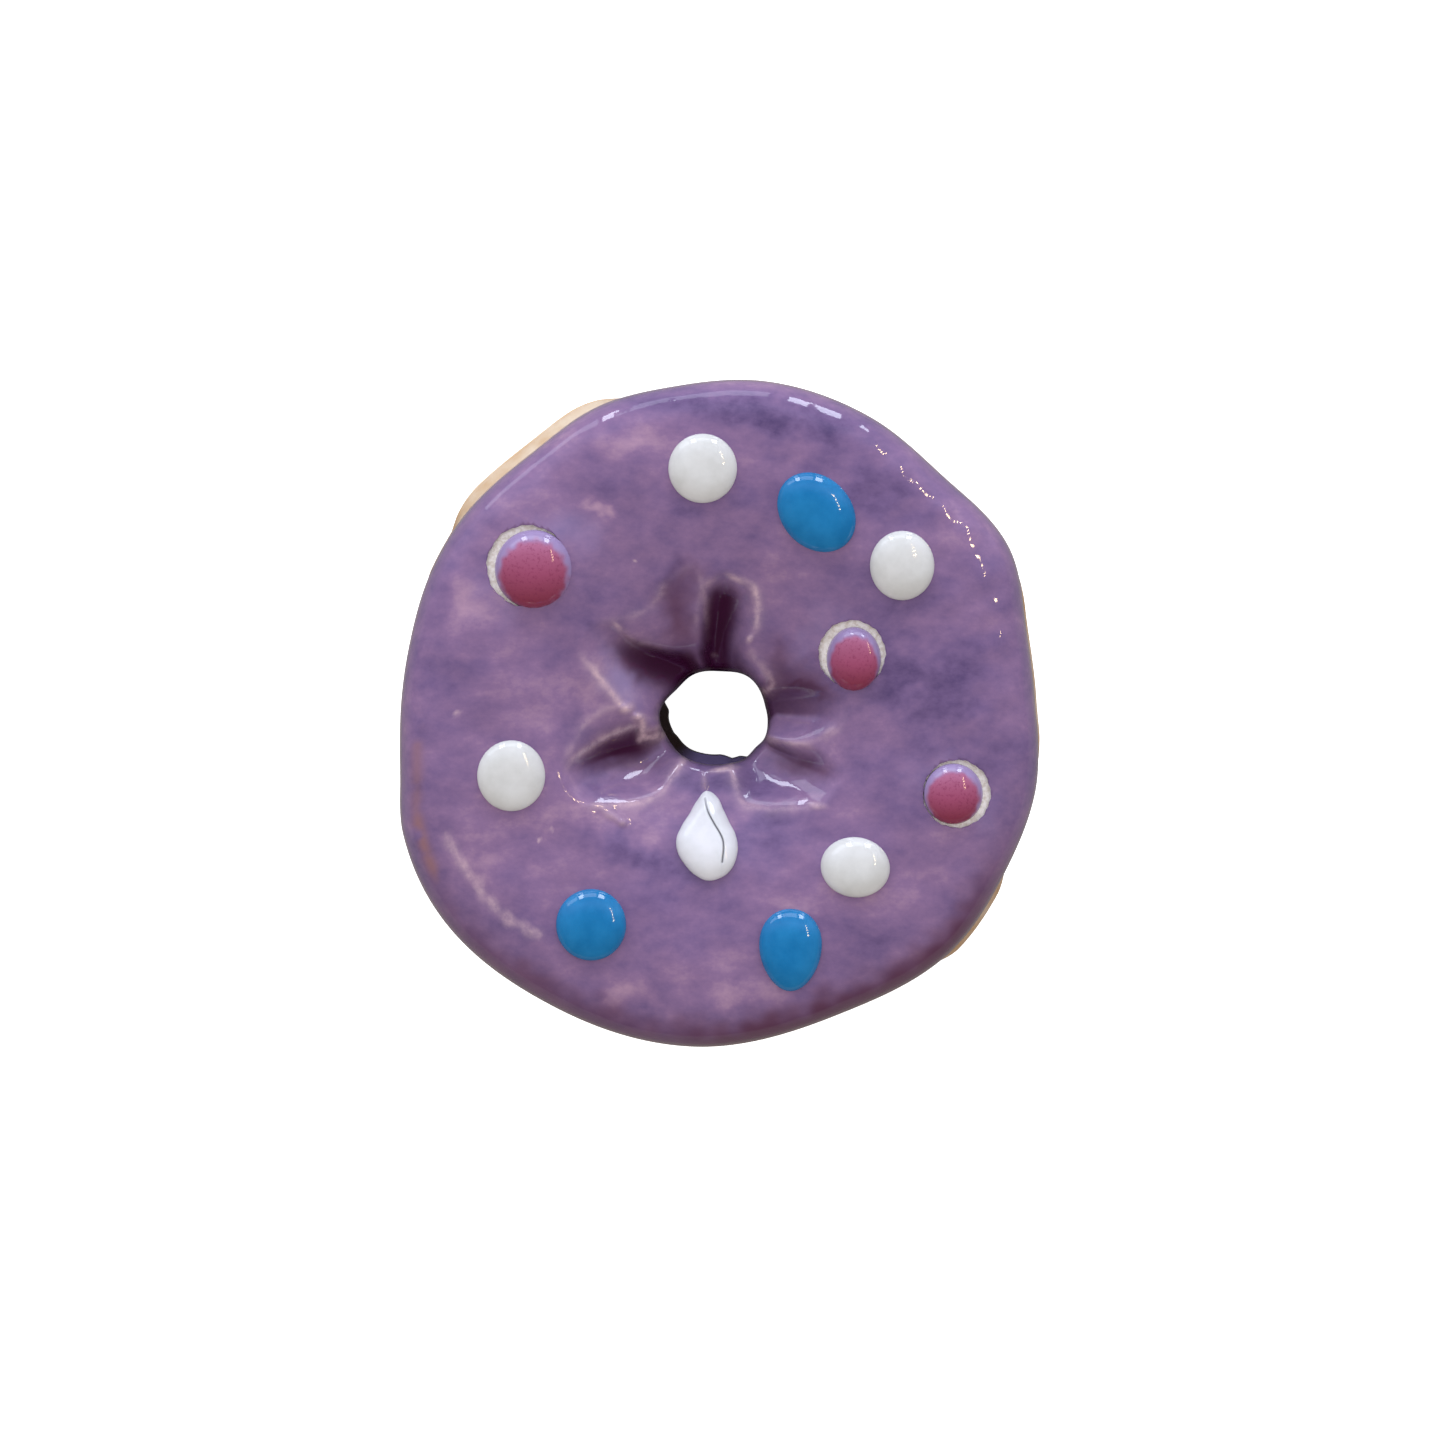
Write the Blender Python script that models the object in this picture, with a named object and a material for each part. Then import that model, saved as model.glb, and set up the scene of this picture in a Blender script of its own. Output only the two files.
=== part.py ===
# A hand-made doughnut of glazed ceramic: a tan clay ring, a purple glazed top that is drawn into
# star-shaped folds round its hole, and eleven glazed dots on it.
# Metres, +Z up. The origin is on the table, under the middle of the ring.

import math

import bmesh
import bpy
from mathutils import Vector

MM = 0.001

# The true ring, before it is pressed into its uneven shape
RIM_RADIUS = 46.0 * MM
HOLE_RADIUS = 7.0 * MM
TURN_STEPS = 88

# Shares of the way from the hole to the rim where the hole's wall ends and the rim starts
WALL_SHARE = 0.1
RIM_SHARE = 0.8

# Glaze coat and the space that keeps touching pieces apart
GLAZE_THICKNESS = 0.9 * MM
GAP = 0.3 * MM

# Section of the glazed skin as (radius, height) in mm, from the lip in the hole to the edge at the rim
SKIN_SECTION = [
    (7.0, 14.0), (7.0, 18.6), (7.6, 21.4), (9.4, 22.6), (14.5, 24.6), (22.5, 27.1), (31.0, 28.3),
    (39.6, 28.1), (43.6, 26.9), (45.3, 24.8), (45.9, 21.4), (46.0, 17.4), (46.0, 12.8),
]
SKIN_ROWS = [1, 1, 1, 2, 3, 2, 1, 2, 2, 1, 1, 1]

# Section of the bare clay below the skin, from the rim's edge down, under and up the hole's wall
BARE_SECTION = [
    (45.5, 10.4), (44.9, 7.0), (43.2, 3.9), (40.0, 1.3), (35.0, 0.0), (13.0, 0.0),
    (9.9, 1.4), (8.2, 5.0), (7.7, 8.6), (7.9, 11.6),
]

# Radius of the glazed rim as (bearing in degrees, mm), counter-clockwise from +X
RIM_OUTLINE = [
    (2, 44.0), (15, 44.3), (30, 46.5), (47, 45.4), (63, 46.3), (82, 46.7), (98, 46.0),
    (112, 46.0), (126, 44.8), (142, 45.1), (154, 44.9), (168, 44.4), (182, 44.7), (191, 45.5),
    (201, 47.4), (217, 48.3), (240, 47.2), (266, 46.8), (291, 45.3), (314, 46.4), (331, 45.6),
    (346, 45.4), (355, 44.6),
]

# Radius of the glaze's lip in the hole, in the same way
LIP_OUTLINE = [
    (10, 6.4), (50, 6.4), (88, 5.8), (125, 6.5), (152, 6.9), (180, 8.4), (205, 8.2),
    (228, 8.0), (250, 7.5), (275, 7.2), (298, 7.3), (315, 7.0), (330, 7.2), (350, 6.8),
]

# Where the clay of the hole's wall comes out from under the lip: bearing, reach and mm
WALL_STRETCHES = [(240, 70, 2.1), (192, 30, 1.9), (281, 30, 1.35), (308, 28, 0.6)]
WALL_TOP = 13.4 * MM
WALL_FOOT = 4.0 * MM

# Where bare clay shows past the glaze: bearing, reach each way in degrees, and mm of clay
BARE_STRETCHES = [(127, 25, 1.5), (150, 10, 0.5), (8, 28, 0.6), (321, 14, 0.8)]
BARE_SINK = 0.5 * MM
BARE_TOP = 10.8 * MM
STRETCH_CORE = 0.4
EDGE_LIFT = 3.5 * MM
EDGE_LEVEL = 12.8 * MM
LIFT_TOP = 21.0 * MM
LIFT_BOTTOM = 6.0 * MM

# The glaze's lower edge rises and falls: waves round the rim, mm, and bearing of a crest
EDGE_WAVES = [(3, 0.6, 40), (5, 0.4, 200), (8, 0.25, 15)]

# Folds that run in to the hole, in mm. Each has the line of its bottom with the drop along it, and on
# either side of the way in the lines that its wall rises to, outwards: the share of the drop left
# there, how rounded the wall is up to it, how far out its steep part lies, and its points.
FOLDS = [
    {
        "bottom": [(0.7, 19.4), (0.3, 16.6), (-0.5, 11.0), (-0.7, 7.4), (-0.5, 4.6)],
        "drop": [0.0, 2.4, 4.2, 5.0, 5.2],
        "left": [(0.0, 0.5, 1.2, [(1.0, 20.0), (4.4, 17.8), (5.2, 15.0), (4.8, 11.3), (4.0, 9.7),
                                  (4.8, 7.6), (7.4, 3.9)])],
        "right": [(0.0, 0.4, 1.0, [(-0.2, 19.4), (-2.2, 17.3), (-3.1, 14.9), (-3.3, 11.4),
                                   (-3.6, 9.4), (-4.6, 8.2)])],
    },
    {
        "bottom": [(-18.2, 11.6), (-14.1, 11.0), (-11.8, 9.3), (-9.0, 7.9), (-6.1, 6.8), (-4.4, 5.6)],
        "drop": [0.0, 1.2, 2.6, 4.0, 4.8, 5.2],
        "left": [(0.3, 0.0, 1.0, [(-18.0, 12.4), (-14.2, 12.1), (-12.8, 10.4), (-10.2, 9.5),
                                  (-6.7, 8.8), (-3.4, 8.3)]),
                 (0.0, 0.2, 1.0, [(-17.6, 13.2), (-14.9, 12.9), (-10.6, 14.0), (-8.8, 15.8),
                                  (-7.4, 18.2), (-3.2, 20.0)])],
        "right": [(0.0, 0.3, 1.3, [(-20.9, 9.8), (-17.9, 6.2), (-15.6, 3.3), (-13.5, 0.9),
                                   (-11.1, -0.8), (-10.1, -3.5)])],
    },
    {
        "bottom": [(-21.8, -9.0), (-18.5, -7.1), (-15.0, -5.7), (-11.4, -4.8), (-9.2, -4.1), (-7.4, -3.2)],
        "drop": [0.0, 1.9, 3.1, 3.6, 3.9, 4.0],
        "left": [(0.35, 0.0, 1.0, [(-22.2, -8.4), (-20.3, -6.4), (-18.2, -4.8), (-15.6, -3.3),
                                   (-11.4, -1.7), (-10.2, -2.6)]),
                 (0.0, 0.2, 1.0, [(-22.4, -7.6), (-20.4, -4.6), (-18.9, -1.8), (-16.4, 0.2),
                                  (-13.4, 0.8), (-11.1, -0.8)])],
        "right": [(0.0, 1.0, 2.0, [(-22.4, -11.4), (-19.8, -13.0), (-15.0, -12.9), (-11.6, -12.6),
                                   (-8.2, -11.2), (-6.4, -8.4)])],
    },
    {
        "bottom": [(16.4, -10.2), (11.6, -7.7), (8.0, -5.7), (4.6, -3.6)],
        "drop": [0.0, 2.4, 3.2, 3.4],
        "left": [(0.0, 1.0, 2.0, [(16.0, -12.9), (11.6, -13.3), (6.4, -13.3), (3.0, -12.4), (1.8, -8.6)])],
        "right": [(0.0, 1.0, 1.0, [(17.6, -8.0), (13.6, -4.7), (10.1, -4.3), (6.8, -3.3), (5.8, -2.6)])],
    },
    {
        "bottom": [(18.0, 1.0), (13.9, 1.4), (10.1, 1.2), (7.2, 0.9), (5.4, 0.2)],
        "drop": [0.0, 1.9, 3.0, 3.6, 3.8],
        "left": [(0.0, 1.0, 1.4, [(18.4, 0.2), (16.9, -2.0), (14.2, -3.5), (11.4, -4.3), (7.4, -3.9),
                                  (6.0, -3.0)])],
        "right": [(0.5, 0.5, 1.0, [(17.6, 2.0), (15.8, 3.6), (11.6, 4.1), (7.8, 3.7), (6.0, 3.0)]),
                  (0.0, 1.0, 1.0, [(17.6, 3.8), (13.9, 6.8), (10.1, 8.9), (6.4, 8.4), (5.0, 7.0)])],
    },
]
FOLD_BLEND = 4.0
FOLD_FOOT = 14.5 * MM
FOLD_HEAD = 20.0 * MM

# Dots in mm: middle, half sizes, turn in degrees, and how much the far end narrows
DOT_HEIGHT = 2.2 * MM
DOT_SIDES = 16
DOT_RINGS = 6
DOTS = [
    {"name": "white_dot_back", "middle": (-2.4, 33.9), "half": (4.8, 4.85), "glaze": "white"},
    {"name": "white_dot_right", "middle": (25.3, 20.4), "half": (4.5, 4.85), "glaze": "white"},
    {"name": "white_dot_left", "middle": (-29.0, -8.8), "half": (4.75, 4.95), "glaze": "white"},
    {"name": "white_dot_front", "middle": (18.8, -21.5), "half": (4.85, 4.2), "turn": -8,
     "glaze": "white"},
    {"name": "white_teardrop", "middle": (-1.8, -17.2), "half": (4.3, 6.5), "narrowing": 0.5,
     "glaze": "white"},
    {"name": "blue_dot_back", "middle": (13.4, 27.8), "half": (6.1, 4.9), "turn": -47,
     "glaze": "blue"},
    {"name": "blue_dot_left", "middle": (-17.9, -29.5), "half": (4.9, 5.0), "glaze": "blue"},
    {"name": "blue_dot_front", "middle": (9.8, -33.0), "half": (4.35, 5.75), "turn": 180,
     "narrowing": 0.14, "glaze": "blue"},
]

# Pink dots stand in round sockets in the glaze, where the clay shows beside them
SOCKET_SIDES = 28
SOCKET_TOP = 36.0 * MM
SOCKET_BOTTOM = 20.0 * MM
PINK_DOTS = [
    {"name": "pink_dot_left", "middle": (-25.9, 19.9), "half": (5.3, 5.4),
     "socket": (-26.3, 20.1), "socket_radius": 6.3},
    {"name": "pink_dot_middle", "middle": (18.6, 7.5), "half": (3.8, 4.2),
     "socket": (18.4, 7.9), "socket_radius": 4.95},
    {"name": "pink_dot_right", "middle": (32.4, -11.3), "half": (4.1, 4.2),
     "socket": (32.5, -11.1), "socket_radius": 4.9},
]

# Finishes: linear colour, roughness and metallic value
FINISHES = {
    "clay": ((0.62, 0.36, 0.17), 0.45, 0.0),
    "purple": ((0.22, 0.13, 0.27), 0.08, 0.0),
    "white": ((0.78, 0.79, 0.76), 0.12, 0.0),
    "blue": ((0.015, 0.17, 0.42), 0.12, 0.0),
    "pink": ((0.34, 0.07, 0.13), 0.12, 0.0),
}


def clear_scene():
    for item in list(bpy.data.objects):
        bpy.data.objects.remove(item, do_unlink=True)


def add_collection(name):
    collection = bpy.data.collections.new(name)
    bpy.context.scene.collection.children.link(collection)
    return collection


def make_finish(name):
    colour, roughness, metallic = FINISHES[name]
    material = bpy.data.materials.new(name + "_glaze" if name != "clay" else "clay")
    material.use_nodes = True
    shader = material.node_tree.nodes["Principled BSDF"]
    shader.inputs["Base Color"].default_value = (*colour, 1.0)
    shader.inputs["Roughness"].default_value = roughness
    shader.inputs["Metallic"].default_value = metallic
    material.diffuse_color = (*colour, 1.0)
    return material


def add_object(name, bm, material, collection):
    mesh = bpy.data.meshes.new(name)
    bm.to_mesh(mesh)
    bm.free()
    mesh.materials.append(material)
    mesh.shade_smooth()
    item = bpy.data.objects.new(name, mesh)
    collection.objects.link(item)
    return item


def ease(low, high, value):
    # Rises smoothly from 0 at low to 1 at high
    share = min(max((value - low) / (high - low), 0.0), 1.0)
    return share * share * (3.0 - 2.0 * share)


def hermite(start, end, start_slope, end_slope, share):
    # Cubic from start to end with the given slopes over the whole span
    square = share * share
    cube = square * share
    return (
        (2.0 * cube - 3.0 * square + 1.0) * start
        + (cube - 2.0 * square + share) * start_slope
        + (3.0 * square - 2.0 * cube) * end
        + (cube - square) * end_slope
    )


def radius_at(outline, bearing):
    # Smooth closed curve through an outline's (bearing, mm) points, in metres
    count = len(outline)
    index = max((i for i in range(count) if outline[i][0] <= bearing), default=-1)
    turns = [outline[(index + k) % count][0] + 360.0 * ((index + k) // count) for k in (-1, 0, 1, 2)]
    values = [outline[(index + k) % count][1] for k in (-1, 0, 1, 2)]
    span = turns[2] - turns[1]
    start_slope = (values[2] - values[0]) / (turns[2] - turns[0]) * span
    end_slope = (values[3] - values[1]) / (turns[3] - turns[1]) * span
    share = (bearing - turns[1]) / span
    return hermite(values[1], values[2], start_slope, end_slope, share) * MM


def skin_rows():
    # Points of a smooth curve through the skin's section, in metres
    points = [Vector(pair) * MM for pair in SKIN_SECTION]
    padded = [2 * points[0] - points[1], *points, 2 * points[-1] - points[-2]]
    rows = []
    for index, count in enumerate(SKIN_ROWS, start=1):
        start_slope = (padded[index + 1] - padded[index - 1]) / 2
        end_slope = (padded[index + 2] - padded[index]) / 2
        for step in range(count):
            share = step / count
            rows.append(hermite(padded[index], padded[index + 1], start_slope, end_slope, share))
    rows.append(points[-1])
    return rows


def sunk_rows(rows, depth):
    # The same rows moved into the clay by a depth, square to the section
    sunk = []
    for index, point in enumerate(rows):
        before = rows[max(index - 1, 0)]
        after = rows[min(index + 1, len(rows) - 1)]
        along = (after - before).normalized()
        sunk.append(point + Vector((along.y, -along.x)) * depth)
    return sunk


def stretch_at(stretches, bearing):
    # Largest amount that any of the stretches gives at a bearing, in metres
    most = 0.0
    for middle, reach, amount in stretches:
        off = abs((bearing - middle + 180.0) % 360.0 - 180.0)
        most = max(most, amount * MM * (1.0 - ease(STRETCH_CORE * reach, reach, off)))
    return most


def edge_wave(bearing):
    # Rise of the glaze's lower edge at a bearing
    return sum(
        amount * MM * math.cos(math.radians(waves * (bearing - crest)))
        for waves, amount, crest in EDGE_WAVES
    )


def run_in(points):
    # A line of a fold, carried on over the hole's edge to half-way to the middle
    line = [Vector(pair) for pair in points]
    return [*line, line[-1] / 2]


def gap_to(line, place):
    # Distance from a place to a line of straight stretches
    nearest = math.inf
    for start, end in zip(line, line[1:]):
        way = end - start
        share = min(max((place - start).dot(way) / way.length_squared, 0.0), 1.0)
        nearest = min(nearest, (place - start - share * way).length)
    return nearest


def lies_between(first, second, place):
    # Whether a place lies between two lines that run the same way
    border = first + second[::-1]
    inside = False
    for start, end in zip(border, border[1:] + border[:1]):
        if (start.y > place.y) != (end.y > place.y):
            crossing = start.x + (place.y - start.y) / (end.y - start.y) * (end.x - start.x)
            if place.x < crossing:
                inside = not inside
    return inside


def wall_share(bottom, walls, place):
    # Share of a fold's drop that the walls on one of its sides leave at a place
    last_line = bottom
    last_level = 1.0
    for level, roundness, lean, points in walls:
        line = run_in(points)
        if lies_between(last_line, line, place):
            last_gap = gap_to(last_line, place)
            gap = gap_to(line, place)
            share = (last_gap / (last_gap + gap)) ** lean if last_gap > 0.0 else 0.0
            share = (1.0 - roundness) * share + roundness * ease(0.0, 1.0, share)
            return last_level + (level - last_level) * share
        last_line = line
        last_level = level
    return 0.0


def drop_along(fold, place):
    # Drop at a fold's bottom, as far from the middle of the hole as a place lies
    reach = place.length
    marks = [Vector(pair).length for pair in fold["bottom"]]
    drop = fold["drop"]
    for outer in range(len(marks) - 1):
        if marks[outer + 1] <= reach <= marks[outer]:
            share = (marks[outer] - reach) / (marks[outer] - marks[outer + 1])
            return drop[outer] + (drop[outer + 1] - drop[outer]) * share
    return 0.0 if reach > marks[0] else drop[-1]


def fold_drop(x, y):
    # How far the folds draw the surface down at a place
    place = Vector((x, y)) / MM
    total = 0.0
    for fold in FOLDS:
        bottom = run_in(fold["bottom"])
        for side in ("left", "right"):
            share = wall_share(bottom, fold[side], place)
            total += (drop_along(fold, place) * share) ** FOLD_BLEND
    return total ** (1.0 / FOLD_BLEND) * MM


def press_rim(bearing, radius, height):
    # Lifts the glaze's edge on the rim and lets the clay below it out where it shows
    shown = stretch_at(BARE_STRETCHES, bearing)
    share_shown = min(shown / MM, 1.0)
    lift = EDGE_LIFT * share_shown + edge_wave(bearing)
    if height > EDGE_LEVEL:
        return radius, height + lift * (1.0 - ease(EDGE_LEVEL, LIFT_TOP, height))
    bulge = ease(LIFT_BOTTOM / 2, LIFT_BOTTOM, height) * (1.0 - ease(BARE_TOP, EDGE_LEVEL, height))
    radius += (shown + BARE_SINK * share_shown) * bulge
    return radius, height + lift * ease(LIFT_BOTTOM, EDGE_LEVEL, height)


def press_to_shape(point):
    # Takes a point of the true ring to its place on the uneven one
    radius = math.hypot(point.x, point.y)
    bearing = math.degrees(math.atan2(point.y, point.x)) % 360.0
    height = point.z
    share = (radius - HOLE_RADIUS) / (RIM_RADIUS - HOLE_RADIUS)
    lip = radius_at(LIP_OUTLINE, bearing)
    rim = radius_at(RIM_OUTLINE, bearing)
    radius = lip + share * (rim - lip)
    if share > RIM_SHARE:
        radius, height = press_rim(bearing, radius, height)
    elif height < WALL_TOP and share < WALL_SHARE:
        radius -= stretch_at(WALL_STRETCHES, bearing) * ease(0.0, WALL_FOOT, height)
    x = radius * math.cos(math.radians(bearing))
    y = radius * math.sin(math.radians(bearing))
    if share < RIM_SHARE:
        height -= fold_drop(x, y) * ease(FOLD_FOOT, FOLD_HEAD, height)
    return Vector((x, y, height))


def top_height(x, y, depth):
    # Height of the skin, or of a layer sunk below it, over a place on the flat of the ring
    bearing = math.degrees(math.atan2(y, x)) % 360.0
    lip = radius_at(LIP_OUTLINE, bearing)
    rim = radius_at(RIM_OUTLINE, bearing)
    share = (math.hypot(x, y) - lip) / (rim - lip)
    radius = HOLE_RADIUS + share * (RIM_RADIUS - HOLE_RADIUS)
    rows = sunk_rows(skin_rows(), depth)
    for low, high in zip(rows, rows[1:]):
        if low.x <= radius <= high.x:
            height = low.y + (high.y - low.y) * (radius - low.x) / (high.x - low.x)
            return height - fold_drop(x, y) * ease(FOLD_FOOT, FOLD_HEAD, height)
    raise ValueError("place is off the top of the ring")


def spin_section(bm, rows, closed):
    # Turns a section round the Z axis and splits its faces, all along the same diagonal
    verts = [bm.verts.new((point.x, 0.0, point.y)) for point in rows]
    edges = [bm.edges.new(pair) for pair in zip(verts, verts[1:])]
    if closed:
        edges.append(bm.edges.new((verts[-1], verts[0])))
    bmesh.ops.spin(
        bm, geom=verts + edges, cent=(0, 0, 0), axis=(0, 0, 1), dvec=(0, 0, 0),
        angle=2 * math.pi, steps=TURN_STEPS, use_merge=True, use_duplicate=False,
    )
    bmesh.ops.triangulate(bm, faces=bm.faces[:], quad_method="FIXED")


def press_all(bm):
    for vert in bm.verts:
        vert.co = press_to_shape(vert.co)
    bmesh.ops.recalc_face_normals(bm, faces=bm.faces[:])


def add_clay_ring(material, collection):
    under_glaze = sunk_rows(skin_rows(), GLAZE_THICKNESS + GAP)
    bare = [Vector(pair) * MM for pair in BARE_SECTION]
    bm = bmesh.new()
    spin_section(bm, under_glaze + bare, closed=True)
    press_all(bm)
    return add_object("clay_ring", bm, material, collection)


def add_glaze_coat(material, collection):
    # The coat's underside is spun first, and its outer face is then drawn off it
    bm = bmesh.new()
    spin_section(bm, sunk_rows(skin_rows(), GLAZE_THICKNESS), closed=False)
    bmesh.ops.recalc_face_normals(bm, faces=bm.faces[:])
    bmesh.ops.solidify(bm, geom=bm.faces[:], thickness=-GLAZE_THICKNESS)
    press_all(bm)
    return add_object("purple_glaze", bm, material, collection)


def cut_sockets(coat, collection):
    # Round sockets through the coat for the pink dots
    for dot in PINK_DOTS:
        bm = bmesh.new()
        radius = dot["socket_radius"] * MM
        bmesh.ops.create_cone(
            bm, cap_ends=True, segments=SOCKET_SIDES, radius1=radius, radius2=radius,
            depth=SOCKET_TOP - SOCKET_BOTTOM,
        )
        mesh = bpy.data.meshes.new(dot["name"] + "_socket")
        bm.to_mesh(mesh)
        bm.free()
        cutter = bpy.data.objects.new(dot["name"] + "_socket", mesh)
        x, y = dot["socket"]
        cutter.location = (x * MM, y * MM, (SOCKET_TOP + SOCKET_BOTTOM) / 2)
        cutter.hide_render = True
        cutter.display_type = "WIRE"
        collection.objects.link(cutter)
        cut = coat.modifiers.new(dot["name"] + "_socket", "BOOLEAN")
        cut.operation = "DIFFERENCE"
        cut.object = cutter


def add_dot(dot, depth, material, collection):
    # A ball flattened into a dome, whose underside follows the layer that it stands on
    middle = Vector(dot["middle"]) * MM
    half_x, half_y = dot["half"]
    turn = math.radians(dot.get("turn", 0.0))
    narrowing = dot.get("narrowing", 0.0)
    base = top_height(middle.x, middle.y, depth) + GAP
    bm = bmesh.new()
    bmesh.ops.create_uvsphere(bm, u_segments=DOT_SIDES, v_segments=DOT_RINGS, radius=1.0)
    for vert in bm.verts:
        dome = max(vert.co.z, 0.0)
        across = vert.co.x * half_x * MM * (1.0 - narrowing * vert.co.y)
        along = vert.co.y * half_y * MM
        x = across * math.cos(turn) - along * math.sin(turn)
        y = across * math.sin(turn) + along * math.cos(turn)
        floor = top_height(middle.x + x, middle.y + y, depth) + GAP - base
        vert.co = (x, y, floor + dome * (DOT_HEIGHT + depth))
    item = add_object(dot["name"], bm, material, collection)
    item.location = (middle.x, middle.y, base)
    return item


def build():
    clear_scene()
    doughnut = add_collection("ceramic_doughnut")
    cutters = add_collection("cutters")
    finishes = {name: make_finish(name) for name in FINISHES}
    add_clay_ring(finishes["clay"], doughnut)
    coat = add_glaze_coat(finishes["purple"], doughnut)
    cut_sockets(coat, cutters)
    for dot in DOTS:
        add_dot(dot, 0.0, finishes[dot["glaze"]], doughnut)
    for dot in PINK_DOTS:
        add_dot(dot, GLAZE_THICKNESS + GAP, finishes["pink"], doughnut)


build()
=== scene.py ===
import math

import bmesh
import bpy
import numpy as np
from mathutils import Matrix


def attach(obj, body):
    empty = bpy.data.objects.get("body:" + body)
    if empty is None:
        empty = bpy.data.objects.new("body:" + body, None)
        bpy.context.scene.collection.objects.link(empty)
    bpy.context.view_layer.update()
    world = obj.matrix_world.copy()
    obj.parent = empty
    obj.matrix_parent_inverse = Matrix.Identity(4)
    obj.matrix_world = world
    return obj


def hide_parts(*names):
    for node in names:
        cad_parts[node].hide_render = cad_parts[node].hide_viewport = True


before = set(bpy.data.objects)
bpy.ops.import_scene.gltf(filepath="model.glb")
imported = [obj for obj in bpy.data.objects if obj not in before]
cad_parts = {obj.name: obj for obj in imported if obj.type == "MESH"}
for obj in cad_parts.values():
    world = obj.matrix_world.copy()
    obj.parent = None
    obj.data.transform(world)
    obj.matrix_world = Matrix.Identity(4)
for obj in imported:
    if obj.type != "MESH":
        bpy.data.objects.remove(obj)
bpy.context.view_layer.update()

# A hand-made doughnut of glazed ceramic, seen from straight above.
# Shape values are in millimetres with +X right and +Y up in the picture, and mm turns them to metres.
mm = 0.001
print("frame loaded")


# Small tools

def hexToLinear(code):
    # An sRGB hex colour as the linear values that a socket takes
    parts = [int(code[k:k + 2], 16) / 255 for k in (1, 3, 5)]
    return tuple(c / 12.92 if c <= 0.04045 else ((c + 0.055) / 1.055) ** 2.4 for c in parts) + (1.0,)


def addNode(tree, kind, settings, sockets):
    # settings go on the node, sockets holds a link, a value or a hex colour for each input
    node = tree.nodes.new(kind)
    for key, value in settings.items():
        if key == "stops":
            while len(node.color_ramp.elements) < len(value):
                node.color_ramp.elements.new(1.0)
            for element, (place, code) in zip(node.color_ramp.elements, value):
                element.position = place
                element.color = hexToLinear(code)
        else:
            setattr(node, key, value)
    for key, value in sockets.items():
        if isinstance(value, bpy.types.NodeSocket):
            tree.links.new(value, node.inputs[key])
        else:
            node.inputs[key].default_value = hexToLinear(value) if isinstance(value, str) else value
    return node


def addNoise(tree, place, size, detail, roughness=0.5, distortion=0.0):
    # Cloudy noise with marks of about the given size in mm
    noise = addNode(tree, "ShaderNodeTexNoise", {},
                    {"Vector": place, "Scale": 1 / (size * mm), "Detail": detail, "Roughness": roughness,
                     "Distortion": distortion})
    return noise.outputs["Fac"]


def addRamp(tree, value, stops):
    return addNode(tree, "ShaderNodeValToRGB", {"stops": stops}, {"Fac": value}).outputs["Color"]


def addRange(tree, value, fromLow=0.0, fromHigh=1.0, toLow=0.0, toHigh=1.0):
    newRange = addNode(tree, "ShaderNodeMapRange", {},
                       {"Value": value, "From Min": fromLow, "From Max": fromHigh, "To Min": toLow,
                        "To Max": toHigh})
    return newRange.outputs["Result"]


def addMath(tree, operation, *values):
    return addNode(tree, "ShaderNodeMath", {"operation": operation}, dict(enumerate(values))).outputs[0]


def addBump(tree, height, distance, strength):
    # distance is in mm
    bump = addNode(tree, "ShaderNodeBump", {},
                   {"Height": height, "Distance": distance * mm, "Strength": strength})
    return bump.outputs["Normal"]


def mixColours(tree, share, first, second):
    # A mix node has its colours at the inputs 6 and 7 and the output 2
    return addNode(tree, "ShaderNodeMix", {"data_type": "RGBA"}, {0: share, 6: first, 7: second}).outputs[2]


def readAttribute(tree, name):
    return addNode(tree, "ShaderNodeAttribute", {"attribute_name": name}, {}).outputs["Fac"]


def startMaterial(name):
    material = bpy.data.materials.new(name)
    material.use_nodes = True
    tree = material.node_tree
    shader = tree.nodes["Principled BSDF"]
    place = addNode(tree, "ShaderNodeTexCoord", {}, {}).outputs["Object"]
    return material, tree, shader, place


def readPoints(mesh):
    points = np.empty(len(mesh.vertices) * 3)
    mesh.vertices.foreach_get("co", points)
    return points.reshape(-1, 3) / mm


def writePoints(mesh, x, y, z):
    mesh.vertices.foreach_set("co", (np.stack((x, y, z), axis=1) * mm).ravel())
    mesh.update()


def addAttribute(mesh, name, values):
    layer = mesh.attributes.new(name, "FLOAT", "POINT")
    layer.data.foreach_set("value", np.asarray(values, dtype=np.float32))


def addPiece(name, mesh, material, nodes):
    mesh.materials.clear()
    mesh.materials.append(material)
    mesh.shade_smooth()
    piece = bpy.data.objects.new(name, mesh)
    bpy.context.scene.collection.objects.link(piece)
    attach(piece, "root")
    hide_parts(*nodes)
    return piece


def ease(low, high, value):
    # Smooth step from 0 at low to 1 at high
    share = np.clip((value - low) / (high - low), 0.0, 1.0)
    return share * share * (3.0 - 2.0 * share)


def hermite(start, end, startSlope, endSlope, share):
    square = share * share
    cube = square * share
    return ((2 * cube - 3 * square + 1) * start + (cube - 2 * square + share) * startSlope
            + (3 * square - 2 * cube) * end + (cube - square) * endSlope)


def aroundCurve(outline, bearing):
    # Smooth closed curve through (bearing in degrees, value) points
    turns, values = np.array(outline, dtype=float).T
    turns = np.concatenate((turns[-2:] - 360, turns, turns[:2] + 360))
    values = np.concatenate((values[-2:], values, values[:2]))
    bearing = np.mod(bearing, 360.0)
    index = np.searchsorted(turns, bearing, side="right") - 1
    span = turns[index + 1] - turns[index]
    startSlope = (values[index + 1] - values[index - 1]) / (turns[index + 1] - turns[index - 1]) * span
    endSlope = (values[index + 2] - values[index]) / (turns[index + 2] - turns[index]) * span
    return hermite(values[index], values[index + 1], startSlope, endSlope, (bearing - turns[index]) / span)


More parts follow.
